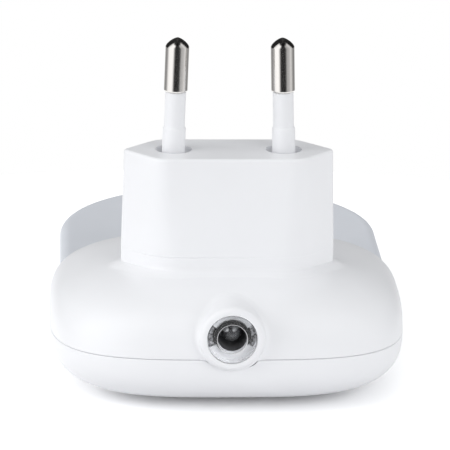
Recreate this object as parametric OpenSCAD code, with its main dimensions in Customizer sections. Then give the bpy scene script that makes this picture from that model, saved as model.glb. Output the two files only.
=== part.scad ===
// Plug in night light with a light sensor, lying on its front face. Millimetres.
// +Z runs along the contact pins, +Y points from the sensor to the diffuser, and the
// origin is on the flat of the front cover, under the middle of the plug.

/* [Shells] */
// Width across the two shells
shell_w = 60.4; // [59:0.2:68]
// Length of the shells from their widest line to the sensor end
near_len = 27.8; // [26.5:0.1:34]
// Length of the shells from their widest line to the diffuser end
far_len = 20.5; // [20:0.5:24]
// Distance of the widest line from the middle of the plug
widest_y = 7.2; // [6:0.1:8]
// Depth of the front cover, from its flat to the parting plane
front_depth = 10.4; // [9.5:0.1:12.5]
// Rise of the rear housing above the parting plane
rear_rise = 11.4; // [10.5:0.1:14]
// Wall of both shells
shell_wall = 1.8; // [1.4:0.1:2]
// Squareness of the outline at the parting plane
plan_power = 3.6; // [3.2:0.1:4.2]
// Squareness of the outline at the plug
top_power = 2.5; // [2.3:0.1:3.2]
// Squareness of the outline at the flat of the front cover
face_power = 3.6; // [3:0.1:4.2]
// Fullness of the rear housing's sides
rear_power = 3.2; // [2.9:0.05:3.7]
// Fullness of the front cover's sides
front_power = 2.95; // [2.7:0.05:3.6]
// Share of the outline that is flat on the front cover
front_flat = 0.42; // [0.38:0.01:0.54]
// Height of the lip that centres the shells on each other
lip_h = 1.5; // [1:0.1:2]
// Thickness of that lip
lip_t = 0.9; // [0.7:0.1:1.2]

/* [Plug] */
// Length of the plug's six sided face, over its rounded ends
plug_w = 35.3; // [34.6:0.1:36]
// Thickness of the plug's six sided face
plug_t = 13.7; // [13:0.1:14]
// Length of the straight sides of the face
plug_flat = 24; // [22:0.5:25]
// Radius of the plug's two end edges
plug_edge_r = 1.2; // [0.8:0.1:1.8]
// Radius of the plug's other upright edges at its face
plug_side_r = 4; // [1.5:0.5:5]
// Radius of the same edges at the seam and on the collar
collar_side_r = 8; // [2:0.5:8.5]
// Height of the plug block above its seam
block_rise = 17; // [16:0.1:20]
// Height of the collar below the seam
collar_rise = 2.2; // [1.8:0.1:4]
// Growth of the outline on each side, from the face to the seam
plug_draft = 0.4; // [0.1:0.05:0.6]
// Wall of the collar around the plug block's neck
collar_wall = 1.7; // [1.4:0.1:2]
// Depth of the neck below the top of the rear housing
neck_depth = 3.1; // [2.8:0.1:3.6]
// Thickness of the retainer plate
plate_t = 1.6; // [1.2:0.1:2]

/* [Pins] */
// Diameter of the bare contact pins
pin_d = 4; // [4:0.02:4.06]
// Distance between the pins at the plug's face
pin_pitch = 18.6; // [18:0.1:19]
// Distance between the tips of the pins
tip_pitch = 17.5; // [17:0.1:18]
// Length of the pins above the plug's face
pin_len = 19.3; // [18.5:0.1:20]
// Height of the rounded end of each pin
pin_tip_h = 1.6; // [1.2:0.1:2]
// Fullness of the pins' rounded ends: 2 is an ellipse, and less is more pointed
pin_tip_power = 1.4; // [1.2:0.1:2]
// Length of the insulating sleeve above the plug's face
sleeve_len = 10; // [9:0.1:10.5]
// Diameter of the sleeve next to the bare metal
sleeve_d = 3.5; // [3.3:0.05:3.7]
// Diameter of the sleeve at its foot
sleeve_foot_d = 3.9; // [3.8:0.05:4]
// Height of the sleeve's thicker foot above the plug's face
sleeve_foot_len = 3.6; // [2.5:0.1:5]
// Diameter of the pin inside its sleeve
core_d = 2.6; // [2.2:0.1:2.8]
// Depth of the sleeve inside the plug block
sleeve_seat = 8; // [6:0.5:10]
// Diameter of the recess around each pin
recess_d = 6.1; // [5.5:0.1:7]
// Depth of the recess around each pin
recess_depth = 1.8; // [1:0.1:2.5]

/* [Diffuser] */
// Width of the diffuser
hood_w = 56.8; // [54:0.2:58]
// Distance of the diffuser's end from the middle of the plug
hood_reach = 65.5; // [60:0.5:80]
// Height of the diffuser's rear face above the rest face
hood_rear_z = 16.7; // [15.5:0.1:17]
// Height of the diffuser's front face above the rest face
hood_front_z = 3.5; // [3.2:0.1:4.2]
// Wall of the diffuser
hood_wall = 1.5; // [1.2:0.1:2]
// Radius of the diffuser's outer edges
hood_edge_r = 1.8; // [1.6:0.1:2.4]

/* [Sensor] */
// Height of the sensor's axis above the rest face
sensor_z = 14.4; // [13.8:0.1:15]
// Outer diameter of the sensor tube
tube_d = 10.9; // [10.5:0.1:11.5]
// Distance that the tube stands out of the shells at the parting plane
tube_proud = 1.6; // [1:0.1:3]
// Diameter of the window
window_d = 8.2; // [7.6:0.1:8.6]
// Thickness of the window
window_t = 2.6; // [2:0.1:3]
// Diameter of the bore that the sensor looks out of
window_bore_d = 4.9; // [4.6:0.1:5.2]
// Diameter of the black tube
shroud_d = 5.8; // [5.4:0.1:6.2]
// Wall of the black tube
shroud_wall = 0.45; // [0.35:0.05:0.6]
// Depth of the black tube's rim below the face of the window
shroud_depth = 2; // [1.4:0.1:2]
// Length of the black tube
shroud_len = 6.6; // [6.2:0.1:7.6]
// Diameter of the sensor's dome
dome_d = 2.9; // [2.6:0.1:3.1]

/* [Electronics] */
// Thickness of the driver board
board_t = 1.6; // [1.2:0.1:1.8]
// Height of the driver board's underside above the rest face
board_z = 6; // [5.4:0.1:6.4]
// Width of the driver board
board_w = 42; // [40:0.5:43]
// Thickness of the light board
led_board_t = 1; // [0.8:0.1:1.6]
// Height of the light board's front face above the rest face
led_board_z = 9.4; // [9:0.1:10]
// Width of the light board
led_board_w = 40; // [38:0.5:44]
// Length of the light board
led_board_len = 27; // [22:0.5:30]
// Diameter of the smoothing capacitor
can_d = 8; // [6.3:0.1:8.4]
// Length of the smoothing capacitor
can_len = 12; // [10:0.5:13]
// Height of the film capacitor
film_h = 9.4; // [8:0.1:9.6]
// Outer diameter of the insulated mains wires
wire_d = 1.6; // [1.2:0.1:1.8]

/* [Hidden] */

$fn = 48;
slip = 0.1;            // clearance between pieces that slide together
fit = 0.05;            // clearance of pieces that sit tight
over = 1;              // overrun of cuts past the faces they open
outline_steps = 64;    // points around an outline of the shells
rise_steps = 9;        // rings from the parting plane to a flat
rear_flat = 0.16;      // share of the outline that is flat under the plug
root = 0.6;            // depth to which a post is sunk into its shell

// Heights
parting_z = front_depth;
rear_top_z = front_depth + rear_rise;
seam_z = rear_top_z + collar_rise;
plug_face_z = seam_z + block_rise;
neck_end_z = rear_top_z - neck_depth;
plate_z = neck_end_z - plate_t;
board_top_z = board_z + board_t;
led_board_top_z = led_board_z + led_board_t;

// Pins
pin_lean = asin((pin_pitch - tip_pitch) / (2 * pin_len));
tag_t = 0.8;
tag_r = 2.8;
tag_tab_len = 5.4;
tag_tab_w = 2.6;
tag_drop = (plug_face_z - plate_z + slip + tag_r * sin(pin_lean)) / cos(pin_lean);
tail_end = tag_drop + tag_t + 0.9;
pin_chamfer = 0.3;
tip_steps = 8;

// Sensor, along Y
tube_y = widest_y - near_len - tube_proud;
window_y = tube_y + 0.2;
window_seat_y = window_y + window_t;
shroud_y = window_y + shroud_depth;
shroud_end_y = shroud_y + shroud_len;
tube_end_y = shroud_end_y + 1.2;
shroud_floor = 1.2;
flange_t = 1;
flange_r = dome_d / 2 + 0.15;
sensor_seat_y = shroud_end_y - shroud_floor;
dome_len = 4;
lead_r = 0.25;
lead_x = 0.9;
lead_foot_y = tube_end_y + 1;

// Diffuser
hood_r = hood_w / 2;
hood_centre_y = hood_reach - hood_r;
hood_h = hood_rear_z - hood_front_z;
board_near_y = lead_foot_y - 1.8;
board_far_y = 16.8;
hood_mouth_y = board_far_y + 1.4;
hood_post_x = 15.5;
hood_post_y = hood_mouth_y + 3.2;
hood_post_r = 2.3;

// Screws
screw_r = 1;
screw_head_r = 2.1;
screw_head_h = 1.5;
screw_len = 5;
board_post_r = 2.4;
board_post_x = board_w / 2 - 3.5;
board_post_near_y = board_near_y + 3.6;
board_post_far_y = board_far_y - 3.8;
board_screw_len = 4;
plate_screw_x = 4;
function board_screw_at(side) = [side * board_post_x, side > 0 ? board_post_far_y : board_post_near_y];
function hood_post_at(side) = [side * hood_post_x, hood_post_y];
function at_z(place, z) = [place[0], place[1], z];

// Light board
led_board_y = hood_mouth_y + 0.4;
led_chip_w = 3.5;
led_chip_d = 2.8;
led_chip_h = 0.7;
led_chip_pitch = led_board_w / 5;
led_chip_y = led_board_y + led_board_len - 6;
reflector_t = 0.5;
reflector_y = hood_post_y + screw_head_r + 1;
reflector_len = led_board_y + led_board_len + 3 - reflector_y;
led_wire_x = 4;
led_wire_d = 1.2;
led_wire_arch = 3.4;
led_wire_inset = 1.6;

// Places of the parts on the driver board
mains_wire_x = pin_pitch / 2 + 3.7;
mains_wire_y = board_near_y + 7;
film_w = 13;
film_d = 6;
film_at = [film_w / 2 + 1 - board_w / 2, board_far_y - film_d / 2 - 3.2];
can_at = [board_w / 2 - can_len / 2 - 5, board_far_y - can_d / 2 - 6.6];
can_groove = 0.8;
can_groove_z = 1.4;
can_groove_depth = 0.3;
bridge_w = 4.7;
bridge_d = 3.9;
bridge_h = 2.4;
bridge_lift = 0.15;
bridge_leg_w = 0.7;
bridge_leg_t = 0.4;
bridge_leg_reach = 0.9;
lead_pitch = 1.27;
bridge_at = [board_w / 2 - 11.8, board_far_y - bridge_d / 2 - 0.7];
axial_lead_r = 0.3;
fuse_d = 3.4;
fuse_len = 7.6;
fuse_span = 10.4;
fuse_at = [fuse_d / 2 + 2 - board_w / 2, film_at[1] - film_d / 2 - fuse_span / 2 - 2];
bleed_d = 2.4;
bleed_len = 6.3;
bleed_span = 9;
bleed_at = [fuse_at[0] + 5.5, film_at[1] - film_d / 2 - bleed_span / 2 - 2];
zener_d = 1.9;
zener_len = 4;
zener_span = 7;
zener_at = [film_at[0] + film_w / 2 + 5, board_far_y - 11.4];
varistor_r = 3.4;
varistor_t = 3.2;
varistor_lift = 0.6;
varistor_lead_r = 0.35;
varistor_at = [board_w / 2 - varistor_r - 1, board_near_y + varistor_t];
transistor_r = 2.3;
transistor_h = 4.5;
transistor_lift = 1.4;
transistor_flat = 1.2;
transistor_leg_w = 0.4;
transistor_at = [-6.4, board_near_y + 4.8];

// ---- outlines -------------------------------------------------------------

// Distance from the middle of a rounded square of half width 1, at angle a
function square_r(a, n) = pow(pow(abs(cos(a)), n) + pow(abs(sin(a)), n), -1 / n);

// One ring of a shell: inset from the outer outline, shrunk by s, at height z
function shell_ring(inset, s, n, z) = [
    for (i = [0 : outline_steps - 1])
        let (a = 360 * i / outline_steps)
        let (r = s * square_r(a, n))
        let (len_y = (sin(a) > 0 ? far_len : near_len) - inset)
        [(shell_w / 2 - inset) * r * cos(a), widest_y + len_y * r * sin(a), z]
];

// Share of the full rise, and of the full outline, at angle a along a shell's side
function side_rise(a, p) = pow(sin(a), 2 / p);
function side_scale(a, p) = pow(cos(a), 2 / p);
function side_end(flat, p) = acos(pow(flat, p / 2));

// Rings of one surface of a shell, from the parting plane to its flat
function side_rings(inset, rise, p, flat, end_power) =
    let (end = side_end(flat, p))
    [
        for (k = [0 : rise_steps])
            let (a = end * k / rise_steps)
            let (t = side_rise(a, p))
            let (n = plan_power + (end_power - plan_power) * t)
            shell_ring(inset, side_scale(a, p), n, (rise - inset) * t / side_rise(end, p))
    ];

// Height of a shell's surface above the parting plane, at a place x, y
function shell_height(x, y, inset, rise, p, flat) =
    let (len_y = (y > widest_y ? far_len : near_len) - inset)
    let (u = abs(x) / (shell_w / 2 - inset))
    let (v = abs(y - widest_y) / len_y)
    let (r = pow(pow(u, plan_power) + pow(v, plan_power), 1 / plan_power))
    (rise - inset) * pow(max(0, 1 - pow(r, p)), 1 / p) / side_rise(side_end(flat, p), p);

function unit(v) = v / norm(v);
function edge_normal(a, b) = unit([b[1] - a[1], a[0] - b[0]]);

// A convex outline moved outwards by d
function grown(pts, d) = [
    for (i = [0 : len(pts) - 1])
        let (before = pts[(i + len(pts) - 1) % len(pts)])
        let (after = pts[(i + 1) % len(pts)])
        let (n1 = edge_normal(before, pts[i]))
        let (n2 = edge_normal(pts[i], after))
        pts[i] + d * (n1 + n2) / (1 + n1 * n2)
];

// A convex outline with its corners rounded
function rounded(pts, radii, steps) = [
    for (i = [0 : len(pts) - 1])
        let (r = radii[i])
        let (before = pts[(i + len(pts) - 1) % len(pts)])
        let (after = pts[(i + 1) % len(pts)])
        let (n1 = edge_normal(before, pts[i]))
        let (n2 = edge_normal(pts[i], after))
        let (mid = pts[i] - r * (n1 + n2) / (1 + n1 * n2))
        let (a1 = atan2(n1[1], n1[0]))
        let (turn = acos(min(1, n1 * n2)))
        for (k = [0 : steps])
            mid + r * [cos(a1 + turn * k / steps), sin(a1 + turn * k / steps)]
];

// Reach of the outline's sharp end corners, from a first guess of it
function end_reach(guess) =
    let (half = atan(plug_t / 2 / (guess - plug_flat / 2)))
    plug_w / 2 + plug_edge_r * (1 / sin(half) - 1);

function six_sides() =
    let (w = end_reach(end_reach(plug_w / 2)))
    let (f = plug_flat / 2)
    let (t = plug_t / 2)
    [[w, 0], [f, t], [-f, t], [-w, 0], [-f, -t], [f, -t]];

// Outline of the plug grown by d, with radius side_r on the edges beside the flat sides
function plug_outline(d, side_r) =
    let (radii = [for (i = [0 : 5]) max(0.3, (i % 3 == 0 ? plug_edge_r : side_r) + d)])
    rounded(grown(six_sides(), d), radii, 5);
function face_outline(d) = plug_outline(d, plug_side_r);
function collar_outline(d) = plug_outline(d, collar_side_r);
function at_height(pts, z) = [for (p = pts) [p[0], p[1], z]];

// ---- general shapes -------------------------------------------------------

// Solid through a list of rings that all have as many points
module loft(rings) {
    n = len(rings[0]);
    last = len(rings) - 1;
    sides = [
        for (k = [0 : last - 1], i = [0 : n - 1])
            let (j = (i + 1) % n)
            each [
                [k * n + i, (k + 1) * n + i, (k + 1) * n + j],
                [k * n + i, (k + 1) * n + j, k * n + j]
            ]
    ];
    first_cap = [[for (i = [0 : n - 1]) i]];
    last_cap = [[for (i = [0 : n - 1]) last * n + n - 1 - i]];
    polyhedron(points = [for (r = rings) each r], faces = concat(sides, first_cap, last_cap));
}

function backwards(list) = [for (i = [len(list) - 1 : -1 : 0]) list[i]];

// One shell with its rim at z = 0 and its flat above it
module cup(rise, p, flat, end_power) {
    loft(concat(
        backwards(side_rings(shell_wall, rise, p, flat, end_power)),
        side_rings(0, rise, p, flat, end_power)
    ));
}

// Points of a curve from a to d that leaves towards b and arrives from c
function curve_at(a, b, c, d, t) =
    pow(1 - t, 3) * a + 3 * pow(1 - t, 2) * t * b + 3 * (1 - t) * t * t * c + t * t * t * d;

// Wire along such a curve, with its two ends flat and level
module wire(a, b, c, d, diameter) {
    steps = 12;
    sides = 10;
    rings = [
        for (k = [0 : steps])
            let (t = k / steps)
            let (p = curve_at(a, b, c, d, t))
            let (q1 = curve_at(a, b, c, d, max(0, t - 0.02)))
            let (q2 = curve_at(a, b, c, d, min(1, t + 0.02)))
            let (along = k == 0 || k == steps ? [0, 0, b[2] > a[2] && k == 0 ? 1 : -1] : unit(q2 - q1))
            let (across = unit(cross([0.001, 1, 0], along)))
            let (up = cross(along, across))
            [
                for (i = [0 : sides - 1])
                    let (turn = 360 * i / sides)
                    p + diameter / 2 * (cos(turn) * across + sin(turn) * up)
            ]
    ];
    loft(backwards(rings));
}

module screw(length) {
    translate([0, 0, -length]) cylinder(r = screw_r, h = length + over / 2);
    difference() {
        cylinder(r = screw_head_r, h = screw_head_h);
        translate([-screw_head_r * 0.6, -0.3, screw_head_h - 0.6])
            cube([screw_head_r * 1.2, 0.6, over]);
        translate([-0.3, -screw_head_r * 0.6, screw_head_h - 0.6])
            cube([0.6, screw_head_r * 1.2, over]);
    }
}

// Frame of one pin: its axis is Z, and z = 0 is the plug's face. side is -1 or 1
module at_pin(side) {
    translate([side * pin_pitch / 2, 0, plug_face_z]) rotate([0, -side * pin_lean, 0]) children();
}

// Frame of the sensor: its axis is Z, and it looks towards -Z
module at_sensor(y) {
    translate([0, y, sensor_z]) rotate([-90, 0, 0]) children();
}

// ---- casing ---------------------------------------------------------------

// Space that the diffuser needs in the shells
module hood_passage() {
    r = hood_r + slip;
    z = hood_front_z - slip;
    h = hood_h + 2 * slip;
    translate([-r, hood_mouth_y - slip, z]) cube([2 * r, hood_centre_y - hood_mouth_y, h]);
    translate([0, hood_centre_y - 2 * slip, z]) cylinder(r = r, h = h);
}

// Six sided collar outside, with a flared foot, and its skirt inside
module collar() {
    flare = 0.5;
    foot = [
        for (k = [0 : 4])
            let (a = 90 * k / 4)
            at_height(collar_outline(plug_draft + flare * (1 - sin(a))),
                rear_top_z - 0.3 + flare * (1 - cos(a)))
    ];
    skirt = [for (z = [neck_end_z, rear_top_z - 0.8]) at_height(collar_outline(plug_draft), z)];
    loft(concat(skirt, foot, [at_height(collar_outline(plug_draft), seam_z)]));
}

module rear_housing() {
    color("white") difference() {
        union() {
            translate([0, 0, parting_z]) cup(rear_rise, rear_power, rear_flat, top_power);
            collar();
            at_sensor(tube_y) cylinder(d = tube_d, h = tube_end_y - tube_y);
        }
        translate([0, 0, neck_end_z - over]) linear_extrude(seam_z - neck_end_z + 2 * over)
            polygon(collar_outline(plug_draft - collar_wall));
        at_sensor(tube_y - over) cylinder(d = window_d + 2 * fit, h = window_seat_y - tube_y + over);
        at_sensor(tube_y) cylinder(d = shroud_d + 2 * fit, h = tube_end_y - tube_y + over);
        hood_passage();
    }
}

// Post from the front cover's wall up to height z, with a screw hole if bored
module cover_post(place, r, z, bored) {
    rise = shell_height(place[0], place[1], shell_wall, front_depth, front_power, front_flat);
    floor_z = parting_z - rise;
    difference() {
        translate(at_z(place, floor_z - root)) cylinder(r = r, h = z - floor_z + root);
        if (bored)
            translate(at_z(place, z - board_screw_len))
                cylinder(r = screw_r + fit, h = board_screw_len + over);
    }
}

// Lip inside the rim that reaches into the rear housing
module centring_lip() {
    lip_rise = rear_rise - shell_wall;
    end = side_end(rear_flat, rear_power);
    t = lip_h / lip_rise * side_rise(end, rear_power);
    s = pow(1 - pow(t, rear_power), 1 / rear_power);
    n = plan_power + (top_power - plan_power) * t;
    outer = shell_wall + slip;
    inner = outer + lip_t;
    loft([
        shell_ring(inner, s, n, parting_z + lip_h),
        shell_ring(inner, 1, plan_power, parting_z),
        shell_ring(inner, 1, plan_power, parting_z - 1.2),
        shell_ring(shell_wall - root, 1, plan_power, parting_z - 1.2),
        shell_ring(shell_wall - root, 1, plan_power, parting_z),
        shell_ring(outer, 1, plan_power, parting_z),
        shell_ring(outer, s, n, parting_z + lip_h)
    ]);
}

module front_cover() {
    color("white") {
        difference() {
            translate([0, 0, parting_z]) mirror([0, 0, 1])
                cup(front_depth, front_power, front_flat, face_power);
            at_sensor(tube_y - over) cylinder(d = tube_d + 2 * slip, h = tube_end_y - tube_y + 2 * over);
            hood_passage();
        }
        for (side = [-1, 1]) {
            cover_post(board_screw_at(side), board_post_r, board_z, true);
            cover_post([-board_screw_at(side)[0], board_screw_at(side)[1]], board_post_r, board_z, false);
            cover_post(hood_post_at(side), hood_post_r, led_board_z, true);
        }
    }
}

// Section of the diffuser from its middle to its side, x = 0 at the middle
function hood_section(inset, side_x) =
    let (r = max(0.3, hood_edge_r - inset))
    let (x = side_x - inset)
    let (z1 = hood_front_z + inset)
    let (z2 = hood_rear_z - inset)
    concat(
        [[0, z1]],
        [for (k = [0 : 4]) [x - r + r * sin(22.5 * k), z1 + r - r * cos(22.5 * k)]],
        [for (k = [0 : 4]) [x - r + r * cos(22.5 * k), z2 - r + r * sin(22.5 * k)]],
        [[0, z2]]
    );

// Solid with the diffuser's outline, inset on all sides but its open end
module hood_form(inset, from_y) {
    pts = hood_section(inset, hood_r);
    both = concat(pts, [for (p = backwards(pts)) if (p[0] > 0) [-p[0], p[1]]]);
    translate([0, hood_centre_y, 0]) rotate([90, 0, 0]) linear_extrude(hood_centre_y - from_y)
        polygon(both);
    translate([0, hood_centre_y, 0]) rotate_extrude(angle = 180) polygon(pts);
}

module diffuser() {
    color("lightgrey") difference() {
        hood_form(0, hood_mouth_y);
        hood_form(hood_wall, hood_mouth_y - over);
        for (side = [-1, 1])
            translate(at_z(hood_post_at(side), hood_front_z - over))
                cylinder(r = hood_post_r + slip, h = hood_wall + 2 * over);
    }
}

// ---- plug -----------------------------------------------------------------

module plug_block() {
    edge = 0.35;
    neck = plug_draft - collar_wall - slip;
    color("white") difference() {
        union() {
            loft([
                at_height(collar_outline(plug_draft), seam_z),
                at_height(face_outline(0), plug_face_z - edge),
                at_height(face_outline(-edge * 0.3), plug_face_z - edge * 0.3),
                at_height(face_outline(-edge), plug_face_z)
            ]);
            translate([0, 0, neck_end_z + slip]) linear_extrude(seam_z - neck_end_z)
                polygon(collar_outline(neck));
        }
        for (side = [-1, 1]) at_pin(side) {
            translate([0, 0, -recess_depth]) cylinder(d = recess_d, h = recess_depth + over);
            translate([0, 0, -sleeve_seat]) cylinder(d = sleeve_foot_d + 2 * fit, h = sleeve_seat + over);
            translate([0, 0, -tail_end - over]) cylinder(d = core_d + 2 * fit, h = tail_end + 2 * over);
        }
        for (x = [-plate_screw_x, plate_screw_x])
            translate([x, 0, neck_end_z - over]) cylinder(r = screw_r + fit, h = screw_len + over);
    }
}

module retainer_plate() {
    color("ivory") difference() {
        translate([0, 0, plate_z]) linear_extrude(plate_t) polygon(collar_outline(plug_draft - 0.4));
        for (side = [-1, 1]) at_pin(side) translate([0, 0, -tag_drop - over])
            cylinder(d = core_d + 1, h = plate_t + 2 * over);
        for (x = [-plate_screw_x, plate_screw_x])
            translate([x, 0, plate_z - over]) cylinder(r = screw_r + slip, h = plate_t + 2 * over);
    }
}

module retainer_screws() {
    color("silver") for (x = [-plate_screw_x, plate_screw_x])
        translate([x, 0, plate_z]) mirror([0, 0, 1]) screw(screw_len);
}

module contact_pin(side) {
    r = pin_d / 2;
    tip_z = pin_len - pin_tip_h;
    e = 2 / pin_tip_power;
    tip = [
        for (k = [1 : tip_steps])
            let (a = 90 * k / tip_steps)
            [r * pow(cos(a), e), tip_z + pin_tip_h * pow(sin(a), e)]
    ];
    profile = concat(
        [[0, -tail_end], [core_d / 2, -tail_end], [core_d / 2, sleeve_len]],
        [[r - pin_chamfer, sleeve_len], [r, sleeve_len + pin_chamfer], [r, tip_z]],
        [for (p = tip) if (p[0] > 0.001) p],
        [[0, pin_len]]
    );
    color("silver") at_pin(side) rotate_extrude() polygon(profile);
}

module sleeve(side) {
    bore_d = core_d + 2 * fit;
    shoulder = 0.5;
    profile = [
        [bore_d / 2, -sleeve_seat], [sleeve_foot_d / 2, -sleeve_seat],
        [sleeve_foot_d / 2, sleeve_foot_len], [sleeve_d / 2, sleeve_foot_len + shoulder],
        [sleeve_d / 2, sleeve_len], [bore_d / 2, sleeve_len]
    ];
    color("white") at_pin(side) rotate_extrude() polygon(profile);
}

module pin_left() { contact_pin(-1); }
module pin_right() { contact_pin(1); }
module sleeve_left() { sleeve(-1); }
module sleeve_right() { sleeve(1); }

// Brass tag riveted on each pin under the retainer plate
module pin_tags() {
    color("goldenrod") for (side = [-1, 1]) at_pin(side) translate([0, 0, -tag_drop - tag_t])
        difference() {
            union() {
                cylinder(r = tag_r, h = tag_t);
                translate([-tag_tab_w / 2, -tag_tab_len, 0]) cube([tag_tab_w, tag_tab_len, tag_t]);
            }
            translate([0, 0, -over]) cylinder(d = core_d + 2 * fit, h = tag_t + 2 * over);
        }
}

// Mains wire from the tab of a pin's tag down to the driver board
module mains_wire(side) {
    top_x = side * (pin_pitch / 2 + (tag_drop + tag_t) * sin(pin_lean));
    top_y = wire_d / 2 + 0.1 - tag_tab_len;
    top_z = plug_face_z - (tag_drop + tag_t) * cos(pin_lean) - wire_d / 2 * sin(pin_lean) - 0.01;
    bend = 0.45 * (top_z - board_top_z);
    wire(
        [top_x, top_y, top_z],
        [top_x, top_y, top_z - bend],
        [side * mains_wire_x, mains_wire_y, board_top_z + bend],
        [side * mains_wire_x, mains_wire_y, board_top_z],
        wire_d
    );
}

module live_wire() { color("brown") mains_wire(-1); }
module neutral_wire() { color("blue") mains_wire(1); }

// ---- driver board and what is on it ---------------------------------------

module driver_board() {
    color("darkgreen") difference() {
        translate([-board_w / 2, board_near_y, board_z])
            cube([board_w, board_far_y - board_near_y, board_t]);
        for (side = [-1, 1])
            translate(at_z(board_screw_at(side), board_z - over))
                cylinder(r = screw_r + slip, h = board_t + 2 * over);
    }
}

// Four like screws: two in the driver board and two in the light board
module board_screws() {
    color("silver") for (side = [-1, 1]) {
        translate(at_z(board_screw_at(side), board_top_z)) screw(board_screw_len);
        translate(at_z(hood_post_at(side), led_board_top_z)) screw(board_screw_len);
    }
}

// Box with its foot on the driver board
module on_board(at, size) {
    translate([at[0] - size[0] / 2, at[1] - size[1] / 2, board_top_z]) cube(size);
}

module film_capacitor() { color("khaki") on_board(film_at, [film_w, film_d, film_h]); }

module smoothing_capacitor() {
    color("dimgrey") translate([can_at[0] - can_len / 2, can_at[1], board_top_z + can_d / 2])
        rotate([0, 90, 0]) difference() {
            cylinder(d = can_d, h = can_len);
            translate([0, 0, can_groove_z]) difference() {
                cylinder(d = can_d + over, h = can_groove);
                translate([0, 0, -over])
                    cylinder(d = can_d - 2 * can_groove_depth, h = can_groove + 2 * over);
            }
        }
}

module bridge_rectifier() {
    color("black") translate([0, 0, bridge_lift]) on_board(bridge_at, [bridge_w, bridge_d, bridge_h]);
    color("silver") for (side = [-1, 1])
        translate([side * lead_pitch, 0, 0])
            on_board(bridge_at, [bridge_leg_w, bridge_d + 2 * bridge_leg_reach, bridge_leg_t]);
}

// Part with a round body along Y and two bent leads
module axial_part(at, body_d, body_len, span) {
    lead = axial_lead_r;
    mid_z = body_d / 2 + lead;
    translate([at[0], at[1], board_top_z]) {
        translate([0, body_len / 2, mid_z]) rotate([90, 0, 0]) cylinder(d = body_d, h = body_len);
        translate([0, span / 2, mid_z]) rotate([90, 0, 0]) cylinder(r = lead, h = span);
        for (s = [-1, 1]) translate([0, s * span / 2, 0]) {
            cylinder(r = lead, h = mid_z);
            translate([0, 0, mid_z]) sphere(r = lead);
        }
    }
}

module fusible_resistor() { color("darkseagreen") axial_part(fuse_at, fuse_d, fuse_len, fuse_span); }
module bleed_resistor() { color("tan") axial_part(bleed_at, bleed_d, bleed_len, bleed_span); }
module zener_diode() { color("orangered") axial_part(zener_at, zener_d, zener_len, zener_span); }

module varistor() {
    color("royalblue") translate([varistor_at[0], varistor_at[1], board_top_z]) {
        translate([0, varistor_t / 2, varistor_r + varistor_lift]) rotate([90, 0, 0])
            cylinder(r = varistor_r, h = varistor_t);
        for (side = [-1, 1]) translate([side * 0.6 * varistor_r, 0, 0])
            cylinder(r = varistor_lead_r, h = varistor_r);
    }
}

module transistor() {
    cut_w = 2 * (transistor_r + over);
    leg = transistor_leg_w;
    color("black") translate([transistor_at[0], transistor_at[1], board_top_z]) {
        translate([0, 0, transistor_lift]) difference() {
            cylinder(r = transistor_r, h = transistor_h);
            translate([-cut_w / 2, transistor_flat, -over])
                cube([cut_w, transistor_r, transistor_h + 2 * over]);
        }
        for (k = [-1 : 1]) translate([k * lead_pitch - leg / 2, -leg / 2, 0])
            cube([leg, leg, transistor_lift + leg]);
    }
}

// ---- light sensor ---------------------------------------------------------

// Clear ring, with a wider bore behind for the end of the black tube
module sensor_window() {
    bore_r = window_bore_d / 2;
    mouth = 0.12;
    color("white", 0.4) at_sensor(window_y) difference() {
        cylinder(d = window_d, h = window_t);
        translate([0, 0, -over]) cylinder(r = bore_r, h = window_t + 2 * over);
        translate([0, 0, -mouth]) cylinder(r1 = bore_r + 2 * mouth, r2 = bore_r, h = 2 * mouth);
        translate([0, 0, shroud_depth - fit]) cylinder(d = shroud_d + 2 * fit, h = window_t + over);
    }
}

module sensor_shroud() {
    inside_len = shroud_len - shroud_floor;
    color("black") at_sensor(shroud_y) difference() {
        cylinder(d = shroud_d, h = shroud_len);
        translate([0, 0, -over]) cylinder(d = shroud_d - 2 * shroud_wall, h = inside_len + over);
        for (x = [-lead_x, lead_x]) translate([x, 0, inside_len - over])
            cylinder(r = lead_r + slip, h = shroud_floor + 2 * over);
    }
}

module light_sensor() {
    straight = dome_len - dome_d / 2;
    lead_len = lead_foot_y - sensor_seat_y;
    color("lavender") {
        at_sensor(sensor_seat_y - flange_t) cylinder(r = flange_r, h = flange_t);
        at_sensor(sensor_seat_y - flange_t - straight) cylinder(d = dome_d, h = straight);
        at_sensor(sensor_seat_y - flange_t - straight) sphere(d = dome_d);
        for (x = [-lead_x, lead_x]) {
            translate([x, 0, 0]) at_sensor(sensor_seat_y) cylinder(r = lead_r, h = lead_len);
            translate([x, lead_foot_y, sensor_z]) sphere(r = lead_r);
            translate([x, lead_foot_y, board_top_z]) cylinder(r = lead_r, h = sensor_z - board_top_z);
        }
    }
}

// ---- light board ----------------------------------------------------------

module led_board() {
    color("whitesmoke") difference() {
        translate([-led_board_w / 2, led_board_y, led_board_z])
            cube([led_board_w, led_board_len, led_board_t]);
        for (side = [-1, 1])
            translate(at_z(hood_post_at(side), led_board_z - over))
                cylinder(r = screw_r + slip, h = led_board_t + 2 * over);
    }
}

module led_chips() {
    color("gold") for (k = [-1.5 : 1.5])
        translate([k * led_chip_pitch - led_chip_w / 2, led_chip_y, led_board_z - led_chip_h])
            cube([led_chip_w, led_chip_d, led_chip_h]);
}

module reflector() {
    color("white") translate([-led_board_w / 2 - 1, reflector_y, led_board_top_z])
        cube([led_board_w + 2, reflector_len, reflector_t]);
}

module led_wires() {
    foot_y = board_far_y - led_wire_d;
    end_y = led_board_y + led_wire_inset;
    arch_z = led_board_top_z + led_wire_arch;
    color("crimson") for (x = [-led_wire_x, led_wire_x]) wire(
        [x, foot_y, board_top_z],
        [x, foot_y, arch_z],
        [x, end_y, arch_z],
        [x, end_y, led_board_top_z],
        led_wire_d
    );
}

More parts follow.
